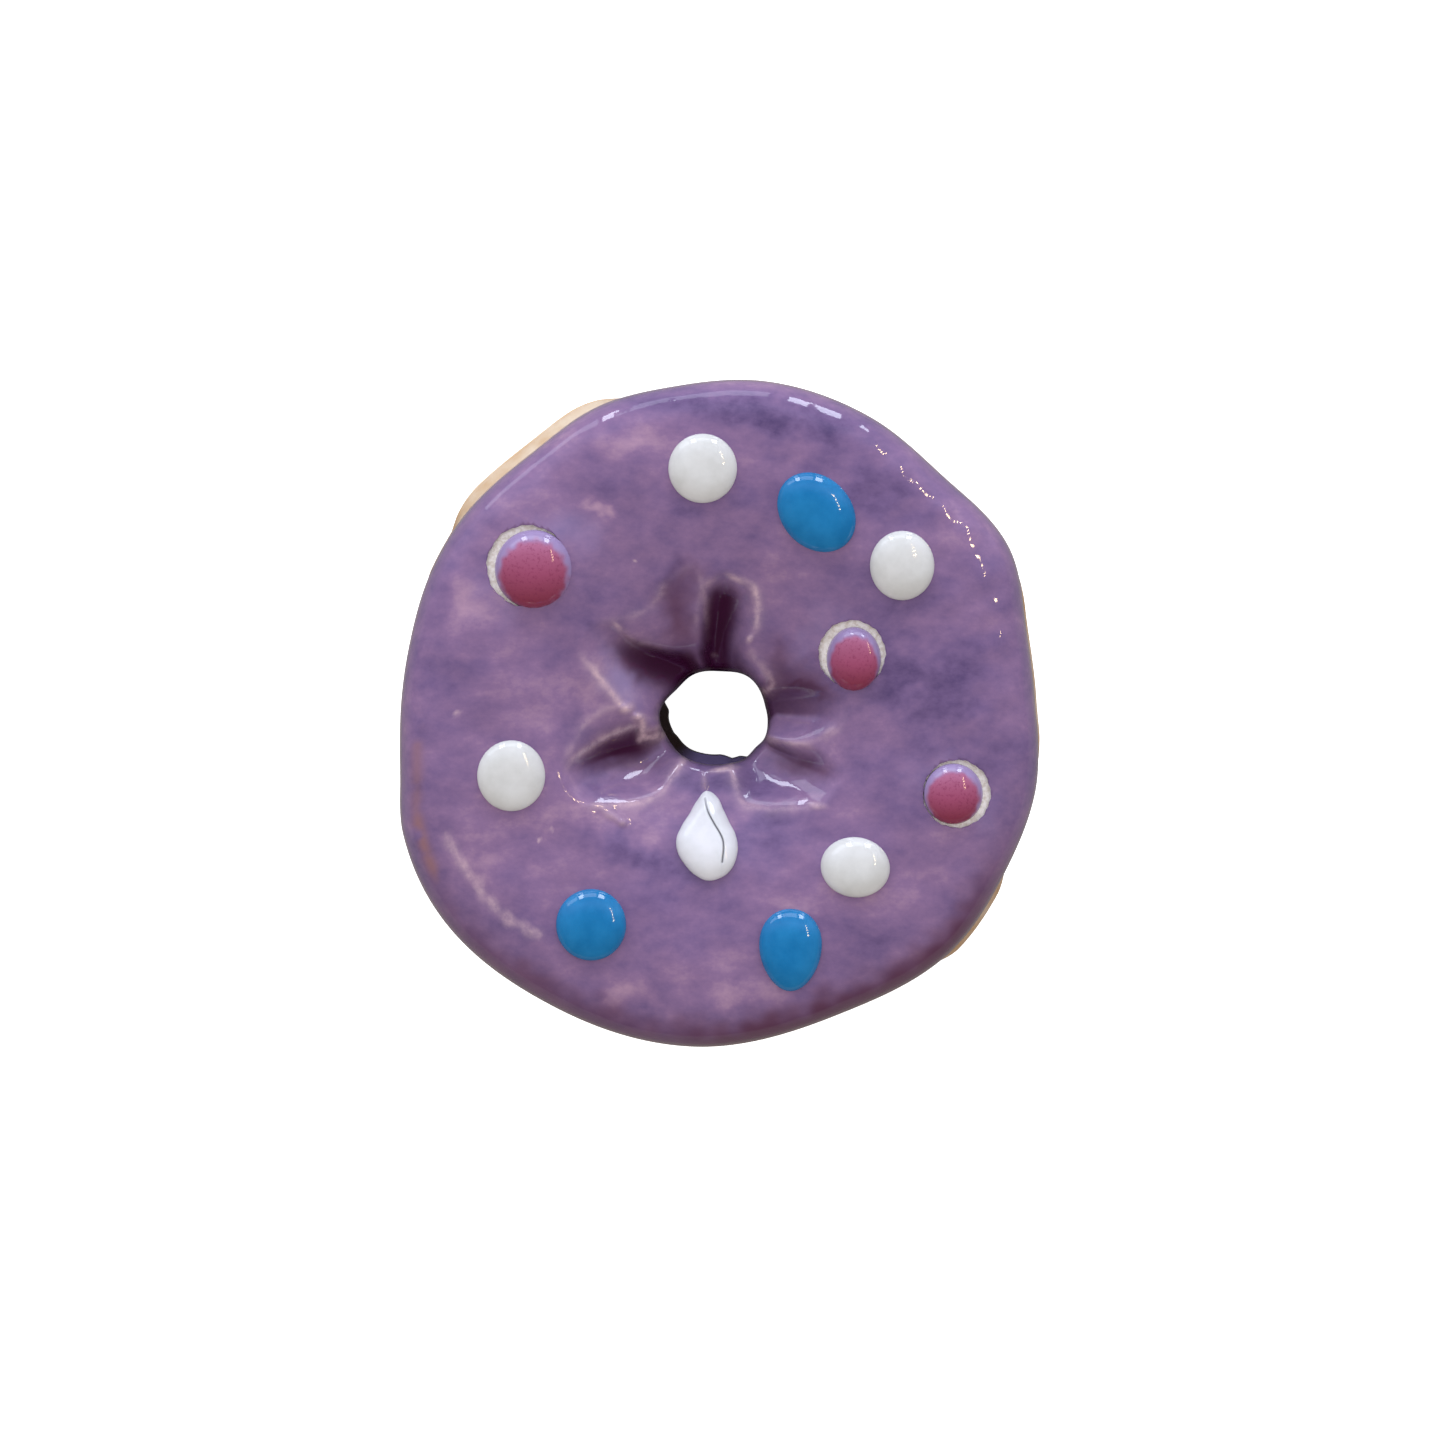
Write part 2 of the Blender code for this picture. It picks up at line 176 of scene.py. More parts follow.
def throughCurve(points, rowCounts):
    # Smooth open curve through points, with so many rows for each span
    points = np.array(points, dtype=float)
    if isinstance(rowCounts, int):
        rowCounts = [rowCounts] * (len(points) - 1)
    padded = np.vstack((2 * points[0] - points[1], points, 2 * points[-1] - points[-2]))
    rows = []
    for index, count in enumerate(rowCounts, start=1):
        startSlope = (padded[index + 1] - padded[index - 1]) / 2
        endSlope = (padded[index + 2] - padded[index]) / 2
        for step in range(count):
            rows.append(hermite(padded[index], padded[index + 1], startSlope, endSlope, step / count))
    rows.append(points[-1])
    return np.array(rows)


def waves(x, y, seed, size, count=7):
    # Gentle unevenness of about the given size in mm, mostly between -1 and 1
    rng = np.random.default_rng(seed)
    total = np.zeros_like(x)
    for _ in range(count):
        angle = rng.uniform(0, 2 * math.pi)
        length = size * rng.uniform(0.7, 1.5)
        phase = rng.uniform(0, 2 * math.pi)
        total += np.sin(2 * math.pi * (x * math.cos(angle) + y * math.sin(angle)) / length + phase)
    return total / count ** 0.5


# Shape of the ring: a true section pressed to an uneven outline

ring = {
    "rimRadius": 46.0,
    "lipRadius": 7.0,
    # Radius and height along the true section: under the glaze, and on from its edge where the clay is bare
    "skin": [(7.0, 14.0), (7.0, 18.6), (7.6, 21.4), (9.4, 22.6), (14.5, 24.6), (22.5, 27.1), (31.0, 28.3),
             (39.6, 28.1), (43.6, 26.9), (45.3, 24.8), (45.9, 21.4), (46.0, 17.4), (46.0, 12.8)],
    "bare": [(45.5, 10.4), (44.9, 7.0), (43.2, 3.9), (40.0, 1.3), (35.0, 0.0), (30.0, 0.0),
             (18.0, 0.0), (13.0, 0.0), (9.9, 1.4), (8.2, 5.0), (7.7, 8.6), (7.9, 11.6)],
    # Bearing in degrees and radius of the real outline and of the hole's lip
    "rim": [(2, 44.0), (15, 44.3), (30, 46.5), (47, 45.4), (63, 46.3), (82, 46.7), (98, 46.0),
            (112, 46.0), (126, 44.8), (142, 45.1), (154, 44.9), (168, 44.4), (182, 44.7), (191, 45.5),
            (201, 47.4), (217, 48.3), (240, 47.2), (266, 46.8), (291, 45.3), (314, 46.4), (331, 45.6),
            (346, 45.4), (355, 44.6)],
    "lip": [(10, 6.4), (50, 6.4), (88, 5.8), (125, 6.5), (152, 6.9), (180, 8.4), (205, 8.2),
            (228, 8.0), (250, 7.5), (275, 7.2), (298, 7.3), (315, 7.0), (330, 7.2), (350, 6.8)],
    # Where clay shows past the glaze, in the hole and at the rim: bearing, reach in degrees and mm shown
    "wallShows": [(240, 70, 2.1), (192, 30, 1.9), (281, 30, 1.35), (308, 28, 0.6)],
    "wallTop": 13.4,
    "bareShows": [(127, 25, 1.5), (150, 10, 0.5), (8, 28, 0.6), (321, 14, 0.8)],
    "bareSink": 0.5,
    "bareTop": 10.8,
    # The glaze's edge rises by the lift where clay shows, and waves: count, height and a crest's bearing
    "edgeLift": 3.5,
    "edgeLevel": 12.8,
    "liftTop": 21.0,
    "liftBottom": 6.0,
    "edgeWaves": [(3, 0.6, 40), (5, 0.4, 200), (8, 0.25, 15)],
    # Shares of the way from the lip to the rim where the hole's wall ends and the outer side starts
    "wallShare": 0.1,
    "sideShare": 0.8,
    # Dents of hand pressure in the top, and finer ripples by the rim at the right: height, seed and size
    "dents": [(0.16, 3, 17.0), (0.05, 8, 6.0)],
    "ripples": (0.06, 14, 4.0),
    "ripplesAt": [(25, 45, 1.0)],
    "ripplesFrom": (31.0, 37.0),
}

# Folds run in to the hole. Each is given from its outer end inwards:
# bottom is the line of its bottom, with the drop in mm and how wine dark each point is, from pooled glaze and
# painted shade in the crease.
# clear is the share of the drop up to which each wall stays clear of that pool and painted shade.
# left and right are the lines that the walls rise to, outwards, on either side of the way in. Each has the
# share of the drop left there, how rounded the wall is up to it, how far out its steep part lies, how pale
# the glaze breaks on it, and its points.
folds = [
    {"bottom": [(0.7, 19.4), (0.3, 16.6), (-0.5, 11.0), (-0.7, 7.4), (-0.5, 4.6)],
     "drop": [0.0, 2.4, 4.2, 5.0, 5.2], "wine": [0.5, 1.0, 1.0, 1.0, 1.0],
     "clear": {"left": 0.4, "right": 0.1},
     "left": [(0.0, 0.5, 1.2, 0.9, [(1.0, 20.0), (4.4, 17.8), (5.2, 15.0), (4.8, 11.3), (4.0, 9.7),
                                    (4.8, 7.6), (7.4, 3.9)])],
     "right": [(0.0, 0.4, 1.0, 0.4, [(-0.2, 19.4), (-2.2, 17.3), (-3.1, 14.9), (-3.3, 11.4), (-3.6, 9.4),
                                     (-4.6, 8.2)])]},
    {"bottom": [(-18.2, 11.6), (-14.1, 11.0), (-11.8, 9.3), (-9.0, 7.9), (-6.1, 6.8), (-4.4, 5.6)],
     "drop": [0.0, 1.2, 2.6, 4.0, 4.8, 5.2], "wine": [0.2, 0.6, 0.9, 1.0, 1.0, 1.0],
     "clear": {"left": 0.1, "right": 0.45},
     "left": [(0.3, 0.0, 1.0, 0.25, [(-18.0, 12.4), (-14.2, 12.1), (-12.8, 10.4), (-10.2, 9.5), (-6.7, 8.8),
                                    (-3.4, 8.3)]),
              (0.0, 0.2, 1.0, 0.4, [(-17.6, 13.2), (-14.9, 12.9), (-10.6, 14.0), (-8.8, 15.8), (-7.4, 18.2),
                                    (-3.2, 20.0)])],
     "right": [(0.0, 0.3, 1.3, 1.0, [(-20.9, 9.8), (-17.9, 6.2), (-15.6, 3.3), (-13.5, 0.9), (-11.1, -0.8),
                                     (-10.1, -3.5)])]},
    {"bottom": [(-21.8, -9.0), (-18.5, -7.1), (-15.0, -5.7), (-11.4, -4.8), (-9.2, -4.1), (-7.4, -3.2)],
     "drop": [0.0, 1.9, 3.1, 3.6, 3.9, 4.0], "wine": [0.5, 0.8, 1.0, 1.0, 0.7, 0.6],
     "clear": {"left": 0.1, "right": 0.3},
     "left": [(0.35, 0.0, 1.0, 0.6, [(-22.2, -8.4), (-20.3, -6.4), (-18.2, -4.8), (-15.6, -3.3),
                                     (-11.4, -1.7), (-10.2, -2.6)]),
              (0.0, 0.2, 1.0, 0.4, [(-22.4, -7.6), (-20.4, -4.6), (-18.9, -1.8), (-16.4, 0.2), (-13.4, 0.8),
                                    (-11.1, -0.8)])],
     "right": [(0.0, 1.0, 2.0, 0.7, [(-22.4, -11.4), (-19.8, -13.0), (-15.0, -12.9), (-11.6, -12.6),
                                     (-8.2, -11.2), (-6.4, -8.4)])]},
    {"bottom": [(16.4, -10.2), (11.6, -7.7), (8.0, -5.7), (4.6, -3.6)],
     "drop": [0.0, 2.4, 3.2, 3.4], "wine": [0.3, 0.5, 0.3, 0.0],
     "clear": {"left": 0.15, "right": 0.15},
     "left": [(0.0, 1.0, 2.0, 0.6, [(16.0, -12.9), (11.6, -13.3), (6.4, -13.3), (3.0, -12.4), (1.8, -8.6)])],
     "right": [(0.0, 1.0, 1.0, 0.0, [(17.6, -8.0), (13.6, -4.7), (10.1, -4.3), (6.8, -3.3), (5.8, -2.6)])]},
    {"bottom": [(18.0, 1.0), (13.9, 1.4), (10.1, 1.2), (7.2, 0.9), (5.4, 0.2)],
     "drop": [0.0, 1.9, 3.0, 3.6, 3.8], "wine": [0.3, 0.5, 0.65, 0.8, 0.9],
     "clear": {"left": 0.15, "right": 0.15},
     "left": [(0.0, 1.0, 1.4, 0.5, [(18.4, 0.2), (16.9, -2.0), (14.2, -3.5), (11.4, -4.3), (7.4, -3.9),
                                    (6.0, -3.0)])],
     "right": [(0.5, 0.5, 1.0, 0.0, [(17.6, 2.0), (15.8, 3.6), (11.6, 4.1), (7.8, 3.7), (6.0, 3.0)]),
               (0.0, 1.0, 1.0, 0.0, [(17.6, 3.8), (13.9, 6.8), (10.1, 8.9), (6.4, 8.4), (5.0, 7.0)])]},
]
# Small knots and runs of glaze: middle, half sizes, turn in degrees, height and paleness
lumps = [
    (-13.0, 0.6, 1.0, 0.7, 20, 0.5, 1.0), (-11.4, -0.7, 0.85, 0.65, 0, 0.45, 1.0),
    (-14.8, -14.4, 1.9, 0.55, -30, 0.3, 0.5), (-13.6, -15.3, 0.5, 0.4, 0, 0.25, 0.8),
    (-2.2, -9.6, 1.2, 0.45, 90, 0.3, 0.3), (4.1, 10.3, 0.6, 0.4, 60, 0.25, 1.0),
    (13.4, -12.9, 1.2, 0.5, -5, 0.12, 0.7), (-16.5, -12.9, 2.2, 0.45, 3, 0.1, 0.7),
    (0.6, -7.9, 1.9, 0.35, 8, 0.1, 1.0), (-0.8, 8.0, 0.4, 0.3, 0, 0.2, 0.2),
    (15.2, -2.6, 1.0, 0.4, 35, 0.1, 0.6), (2.2, 18.6, 1.4, 0.4, -25, 0.05, 0.7),
    (-14.2, 11.9, 0.9, 0.3, -50, 0.05, 0.7),
]
foldBlend = 4.0          # how sharply neighbouring folds meet
foldRound = 0.3          # mm, rounding of the crease at a fold's bottom
foldReach = 27.0         # mm from the middle, no fold goes further
crestWidth = 0.4         # mm, half width of the pale line along an upper edge
crestHalo = 1.1          # mm, half width of the fainter band round it
foldFoot = 14.5          # mm of height where the folds start in the hole
foldHead = 20.0          # mm of height where they have their whole depth
mapStep = 0.15           # mm between the places where the folds are worked out
mapBlur = {"drop": 0.3, "depth": 0.42, "pale": 0.12}     # mm that each map is softened by


def stretchAt(stretches, bearing, core=0.4):
    # Amount at each bearing: whole in the core of a stretch, and fading out to its reach
    most = np.zeros_like(bearing)
    for middle, reach, amount in stretches:
        off = np.abs(np.mod(bearing - middle + 180.0, 360.0) - 180.0)
        most = np.maximum(most, amount * (1.0 - ease(core * reach, reach, off)))
    return most


def runIn(points):
    # A line of a fold, carried on over the hole's edge
    points = list(points) + [(0.5 * points[-1][0], 0.5 * points[-1][1])]
    return throughCurve(points, 6)


def distanceTo(track, x, y):
    # Distance from each place to a line
    nearest = np.full_like(x, np.inf)
    for start, end in zip(track[:-1], track[1:]):
        way = end - start
        offX = x - start[0]
        offY = y - start[1]
        share = np.clip((offX * way[0] + offY * way[1]) / (way @ way), 0.0, 1.0)
        nearest = np.minimum(nearest, (offX - share * way[0]) ** 2 + (offY - share * way[1]) ** 2)
    return np.sqrt(nearest)


def isWithin(first, second, x, y):
    # Whether each place lies between two lines that run the same way
    border = np.vstack((first, second[::-1]))
    odd = np.zeros(x.shape, dtype=bool)
    for start, end in zip(border, np.roll(border, -1, axis=0)):
        if start[1] != end[1]:
            crossing = start[0] + (y - start[1]) / (end[1] - start[1]) * (end[0] - start[0])
            odd ^= ((start[1] > y) != (end[1] > y)) & (x < crossing)
    return odd


def blurred(values, width):
    # Map softened by a bell curve, along either side in turn
    reach = math.ceil(3 * width / mapStep)
    weights = np.exp(-0.5 * (np.arange(-reach, reach + 1) * mapStep / width) ** 2)
    weights /= weights.sum()
    for axis in (0, 1):
        values = np.apply_along_axis(np.convolve, axis, values, weights, mode="same")
    return values


def drawFolds():
    # Maps of the drop in mm, of how dark the glaze is at each place from pooling and painted shade in the
    # creases, and of how pale it breaks there
    marks = np.arange(-foldReach, foldReach + 0.5 * mapStep, mapStep)
    x, y = np.meshgrid(marks, marks)
    fromMiddle = np.hypot(x, y)
    ragged = 1.0 + 0.3 * waves(x, y, 41, 2.2)
    patchy = ease(-0.9, 0.6, waves(x, y, 42, 4.5))
    total = np.zeros_like(x)
    depth = np.zeros_like(x)
    pale = np.zeros_like(x)
    for fold in folds:
        bottom = runIn(fold["bottom"])
        reaches = np.hypot(*np.array(fold["bottom"]).T)[::-1]
        drop = np.interp(fromMiddle, reaches, fold["drop"][::-1])
        wine = np.interp(fromMiddle, reaches, fold["wine"][::-1]) * ease(0.2, 2.6, drop)
        fromBottom = distanceTo(bottom, x, y)
        for side in ("left", "right"):
            lastLine = bottom
            last = np.sqrt(fromBottom ** 2 + foldRound ** 2) - foldRound
            lastLevel = 1.0
            level = np.zeros_like(x)
            for wallLevel, roundness, lean, paleness, points in fold[side]:
                line = runIn(points)
                gap = distanceTo(line, x, y)
                share = np.clip(last / (last + gap + 1e-6), 0, 1) ** lean
                share = share * (1 - roundness) + roundness * share * share * (3 - 2 * share)
                within = isWithin(lastLine, line, x, y)
                level = np.where(within, lastLevel + (wallLevel - lastLevel) * share, level)
                broken = (0.75 * np.exp(-(gap / crestWidth * ragged) ** 2)
                          + 0.25 * np.exp(-(gap / crestHalo) ** 2))
                patchiness = patchy + (1.0 - patchy) * paleness
                pale = np.maximum(pale, broken * paleness * patchiness * np.clip(drop / 1.2, 0, 1))
                last = gap
                lastLevel = wallLevel
                lastLine = line
            total += (drop * level) ** foldBlend
            clear = fold["clear"][side]
            # Pooled glaze and painted crease shade, dark up each wall past its clear share
            depth = np.maximum(depth, ease(clear, clear + 0.5, level) * wine)
    total = blurred(total ** (1.0 / foldBlend), mapBlur["drop"])
    # The glaze breaks less pale along the lip behind the hole
    backLip = (1.0 - ease(11.0, 15.0, fromMiddle)) * ease(5.0, 7.0, y - 0.6 * x)
    nearHole = (1.0 - ease(9.0, 11.5, fromMiddle)) * ease(1.5, 4.0, y)
    pale *= (1.0 - 0.9 * backLip) * (1.0 - 0.55 * nearHole)
    for middleX, middleY, halfX, halfY, turn, height, paleness in lumps:
        spot = softSpot(x, y, middleX, middleY, halfX, halfY, turn)
        total -= height * spot
        pale = np.maximum(pale, paleness * spot)
    return {"drop": total, "depth": blurred(depth, mapBlur["depth"]), "pale": blurred(pale, mapBlur["pale"])}


def softSpot(x, y, middleX, middleY, halfX, halfY, turn):
    # Turned oval that is 1 in its middle and fades out past its half sizes
    turn = math.radians(turn)
    along = ((x - middleX) * math.cos(turn) + (y - middleY) * math.sin(turn)) / halfX
    across = ((y - middleY) * math.cos(turn) - (x - middleX) * math.sin(turn)) / halfY
    return np.exp(-(along ** 2 + across ** 2) ** 1.3)


def readMap(name, x, y):
    # Value of a map of the folds at each place, between its four nearest marks
    values = foldMaps[name]
    column = np.clip((x + foldReach) / mapStep, 0, len(values) - 1.001)
    row = np.clip((y + foldReach) / mapStep, 0, len(values) - 1.001)
    c = column.astype(int)
    r = row.astype(int)
    column = column - c
    row = row - r
    lower = values[r, c] * (1 - column) + values[r, c + 1] * column
    upper = values[r + 1, c] * (1 - column) + values[r + 1, c + 1] * column
    return lower * (1 - row) + upper * row


def unevenness(x, y):
    # Hand pressure left in the top, in mm
    dents = sum(height * waves(x, y, seed, size) for height, seed, size in ring["dents"])
    byRim = ease(*ring["ripplesFrom"], np.hypot(x, y))
    there = stretchAt(ring["ripplesAt"], np.degrees(np.arctan2(y, x)) % 360.0)
    height, seed, size = ring["ripples"]
    return dents + height * byRim * there * waves(x, y, seed, size)


def pressRing(points):
    # Takes points of the true ring to the real one, all in mm
    x, y, height = points.T
    radius = np.hypot(x, y)
    bearing = np.degrees(np.arctan2(y, x)) % 360.0
    share = (radius - ring["lipRadius"]) / (ring["rimRadius"] - ring["lipRadius"])
    lip = aroundCurve(ring["lip"], bearing)
    rim = aroundCurve(ring["rim"], bearing)
    radius = lip + share * (rim - lip)

    # Bare clay bulges out below the glaze's edge
    outside = share > ring["sideShare"]
    level = ring["edgeLevel"]
    shown = stretchAt(ring["bareShows"], bearing)
    shareShown = np.minimum(shown, 1.0)
    bulge = (ease(ring["liftBottom"] / 2, ring["liftBottom"], height)
             * (1 - ease(ring["bareTop"], level, height)))
    bulge = (shown + ring["bareSink"] * shareShown) * bulge
    radius = radius + np.where(outside & (height <= level), bulge, 0)

    # Clay shows on the hole's wall, which steps in below the lip
    wall = (share < ring["wallShare"]) & (height < ring["wallTop"])
    step = stretchAt(ring["wallShows"], bearing) * ease(0, 0.3 * ring["wallTop"], height)
    radius = radius - np.where(wall, step, 0)
    x = radius * np.cos(np.radians(bearing))
    y = radius * np.sin(np.radians(bearing))

    # The glaze's edge rises and falls, and the top drops into the folds
    lift = ring["edgeLift"] * shareShown
    for count, amount, crestBearing in ring["edgeWaves"]:
        lift = lift + amount * np.cos(np.radians(count * (bearing - crestBearing)))
    rise = np.where(height > level, 1 - ease(level, ring["liftTop"], height),
                    ease(ring["liftBottom"], level, height))
    weight = np.where(share < ring["sideShare"], ease(foldFoot, foldHead, height), 0.0)
    bumps = unevenness(x, y) * ease(14.0, 20.0, height)
    z = np.maximum(height + np.where(outside, lift * rise, 0.0) - readMap("drop", x, y) * weight + bumps, 0.0)
    return x, y, z, weight, bearing, share


def skinHeight(x, y, depth=0.0):
    # Height of the glaze's face, or of a layer below it, over a place on the top
    bearing = np.degrees(np.arctan2(y, x)) % 360.0
    lip = aroundCurve(ring["lip"], bearing)
    rim = aroundCurve(ring["rim"], bearing)
    share = (np.hypot(x, y) - lip) / (rim - lip)
    radius = ring["lipRadius"] + share * (ring["rimRadius"] - ring["lipRadius"])
    rows = sinkRows(throughCurve(ring["skin"], 8), depth)
    height = np.interp(radius, rows[:, 0], rows[:, 1])
    return height - readMap("drop", x, y) * ease(foldFoot, foldHead, height) + unevenness(x, y)


foldMaps = drawFolds()
print("folds drawn")


def sinkRows(rows, depth):
    # Rows moved into the clay, square to the section
    along = np.gradient(rows, axis=0)
    along /= np.linalg.norm(along, axis=1)[:, None]
    return rows + np.stack((along[:, 1], -along[:, 0]), axis=1) * depth


def spinSection(name, rows, steps):
    # Closed section of (radius, height) rows turned round the Z axis
    bm = bmesh.new()
    verts = [bm.verts.new((r * mm, 0.0, z * mm)) for r, z in rows]
    edges = [bm.edges.new(pair) for pair in zip(verts, verts[1:] + verts[:1])]
    bmesh.ops.spin(bm, geom=verts + edges, cent=(0, 0, 0), axis=(0, 0, 1), dvec=(0, 0, 0),
                   angle=2 * math.pi, steps=steps, use_merge=True, use_duplicate=False)
    bmesh.ops.recalc_face_normals(bm, faces=bm.faces[:])
    mesh = bpy.data.meshes.new(name)
    bm.to_mesh(mesh)
    bm.free()
    return mesh


# Clay ring

clay = {
    "steps": 360,
    "rowsPerSpan": 6,
    "depth": 0.45,           # mm below the glaze's face
    "biscuitFrom": 20.0,     # mm of height from which clay is seen only in the sockets
    "foot": 0.4,             # mm of height up to which the clay is left dry
    "throatShare": 0.12,     # share of the way out to the rim that the hole's wall takes up
    "throatTop": 18.0,
    "drip": [(268, 50, 1.0)],     # bearing, reach in degrees and amount
    "dripFrom": (8.0, 11.5),      # mm of height where the drip fades in
}


def clayMaterial():
    # Fired tan earthenware: warm and shiny under clear glaze outside, pale and dry where left bare, and
    # painted dark as shade in the hole, with a lavender run of glaze on its front wall
    material, tree, shader, place = startMaterial("firedTanEarthenware")
    cloud = addNoise(tree, place, size=6, detail=4.0)
    warm = addRamp(tree, cloud, [(0.3, "#D9A768"), (0.7, "#FBE6C8")])
    grit = addNoise(tree, place, size=0.5, detail=3.0)
    pale = addRamp(tree, grit, [(0.35, "#DDD3C4"), (0.6, "#F8F3EA")])
    dry = readAttribute(tree, "dry")
    outside = mixColours(tree, dry, warm, pale)
    # Painted shade: the clay in the hole is near black brown, under the lavender run of glaze
    throat = mixColours(tree, readAttribute(tree, "drip"), "#2A1512", "#8A7AAE")
    colour = mixColours(tree, readAttribute(tree, "throat"), outside, throat)
    tree.links.new(colour, shader.inputs["Base Color"])
    tree.links.new(addRange(tree, dry, toLow=0.18, toHigh=0.85), shader.inputs["Roughness"])
    tree.links.new(addBump(tree, grit, 0.06, 0.5), shader.inputs["Normal"])
    shader.inputs["IOR"].default_value = 1.5
    return material


def makeClayRing():
    skin = sinkRows(throughCurve(ring["skin"], clay["rowsPerSpan"]), clay["depth"])
    bare = throughCurve(ring["bare"], clay["rowsPerSpan"])
    mesh = spinSection("clayRing", np.vstack((skin, bare)), clay["steps"])
    x, y, z, _, bearing, share = pressRing(readPoints(mesh))
    writePoints(mesh, x, y, z)
    dry = (z > clay["biscuitFrom"]) | (z < clay["foot"])
    # The hole's wall below the throat's top, where the clay is painted with shade
    throat = (share < clay["throatShare"]) & (z < clay["throatTop"])
    addAttribute(mesh, "dry", np.where(dry, 1.0, 0.0))
    addAttribute(mesh, "throat", np.where(throat, 1.0, 0.0))
    addAttribute(mesh, "drip", stretchAt(clay["drip"], bearing) * ease(*clay["dripFrom"], z))
    return addPiece("clayRing", mesh, clayMaterial(), ["clay_ring"])


# Purple glaze

# Spots have a middle, half sizes, a turn in degrees and an amount
glaze = {
    "steps": 480,
    "rows": [8, 8, 10, 18, 28, 22, 14, 12, 12, 8, 6, 6],
    "innerRowsPerSpan": 2,
    "thickness": 0.4,
    # Middle and radius of the opening round each pink dot
    "sockets": [((-26.75, 20.35), 5.65), ((18.35, 8.15), 4.65), ((32.9, -11.3), 4.7)],
    "socketSides": 96,
    "socketHeight": 27.0,
    "cutterDepth": 12.0,
    # How far a face turns to the window behind where its pool and painted shade fade out, and away from it
    # where a fold's wall gets painted shade, and the mm of drop over which it does
    "poolShadeFades": (0.08, 0.48),
    "wallShadeGrows": (0.05, 0.6),
    "wallShadeOver": (0.5, 3.0),
    "wallShade": 0.65,
    # Brushed spots, from dark violet (-1) to pale pink (1); the dark spot between the top fold and the upper
    # left one and the long one along the back rim are painted shade
    "patches": [
        (0.0, -9.4, 6.5, 2.2, 0, -1.0), (-7.0, 17.5, 3.0, 2.4, 0, -0.8), (-14.5, 4.5, 5.0, 4.0, -40, 0.4),
        (-11.2, 37.7, 6.0, 2.2, -10, 0.8), (3.6, 34.5, 6.0, 1.2, -8, 0.5), (-22.8, 31.6, 5.0, 4.0, 30, 0.3),
        (-17.0, 28.2, 2.4, 0.6, -15, 1.2), (-35.0, 14.6, 4.0, 4.5, 20, 0.7), (9.4, 18.7, 5.0, 4.5, 40, 0.45),
        (32.5, 24.5, 4.0, 3.5, 0, 0.45), (-24.0, 3.0, 10.0, 5.5, 15, 0.5), (-17.6, -14.6, 8.0, 2.6, -8, 0.7),
        (-8.6, -15.4, 2.6, 4.5, 0, 0.5), (3.2, -15.2, 1.4, 4.5, 0, 0.7), (15.2, -26.2, 7.0, 2.6, 5, 0.6),
        (29.3, -23.0, 4.5, 6.5, -20, 0.5), (-11.8, -39.4, 6.0, 1.6, -14, 1.1), (4.2, -38.6, 5.0, 2.2, 0, 0.9),
        (-30.0, -21.0, 5.0, 4.0, 0, 0.5), (5.0, 41.6, 17.0, 2.4, -6, -1.1), (-11.5, 31.0, 6.0, 4.0, 0, -0.3),
        (22.0, 30.5, 7.0, 4.0, -30, -0.7), (25.5, 4.6, 6.5, 2.8, 10, -1.0), (34.5, 8.0, 5.0, 4.5, 0, -0.5),
        (7.0, -16.0, 4.5, 3.2, 10, -0.6), (-12.5, -19.6, 8.0, 2.2, -22, -1.0),
        (19.0, 15.5, 4.0, 6.0, 0, -0.35), (32.0, 2.0, 5.0, 4.0, 0, -1.2), (28.0, -6.0, 8.0, 5.0, 0, -0.3),
        (21.0, -33.5, 9.0, 3.0, 25, -0.3), (-38.0, 2.0, 3.0, 8.0, 0, -0.3), (-2.8, -34.6, 5.0, 3.0, 0, 0.5),
        (-35.0, -17.5, 5.0, 5.0, 0, 0.5),
    ],
    # Milky haze beside the pink dots, and a painted sheen of the bluish light behind on a wall of a fold
    "hazesAndSheen": [
        (-22.3, 24.6, 4.2, 3.6, 0, 0.8), (-30.5, 16.5, 3.0, 4.0, 0, 0.5), (15.2, 10.5, 3.0, 3.2, 0, 0.6),
        (30.0, -7.5, 3.5, 2.5, 0, 0.5), (36.5, -14.5, 2.5, 3.0, 0, 0.4), (-13.0, 4.8, 5.0, 2.8, -48, 1.5),
    ],
    # Painted shade, wine brown, in patches beside the folds
    "shadePatches": [
        (9.5, 6.6, 4.5, 2.4, -32, 0.45), (11.5, 3.4, 4.8, 1.1, -3, 0.6), (-5.2, 16.2, 3.4, 3.8, -15, 0.6),
        (-5.0, 11.4, 3.2, 3.4, 0, 0.4), (-13.5, -7.3, 5.5, 1.3, 14, 0.45), (10.4, -7.6, 3.4, 1.9, -28, 0.5),
        (-11.5, 7.2, 4.0, 1.5, -30, 0.5),
    ],
    # A wine dark band of painted shade at the front rim and the ochre line at the left one: bearing, reach
    # and amount
    "frontShadeBand": [(294, 50, 0.95), (252, 50, 0.62)],
    "frontShadeFades": (0.8, 5.4),
    "ochreLine": [(193, 16, 0.45), (204, 9, 0.75)],
    "ochreFromRim": 2.6,
    "ochreWidth": 0.9,
    # A pale line of pulled glaze near the front left rim, and pale specks with their half size
    "pulledLine": [(-38.2, -17.2), (-35.3, -21.8), (-33.3, -24.6), (-30.1, -28.1), (-25.3, -30.7)],
    "pulledWidth": 0.65,
    "pulledPaleness": 0.6,
    "specks": [(-36.5, -0.1, 0.35), (-23.4, -16.3, 0.25), (-25.1, -17.7, 0.25), (18.8, -24.6, 0.2),
               (-11.8, 21.0, 0.2)],
}


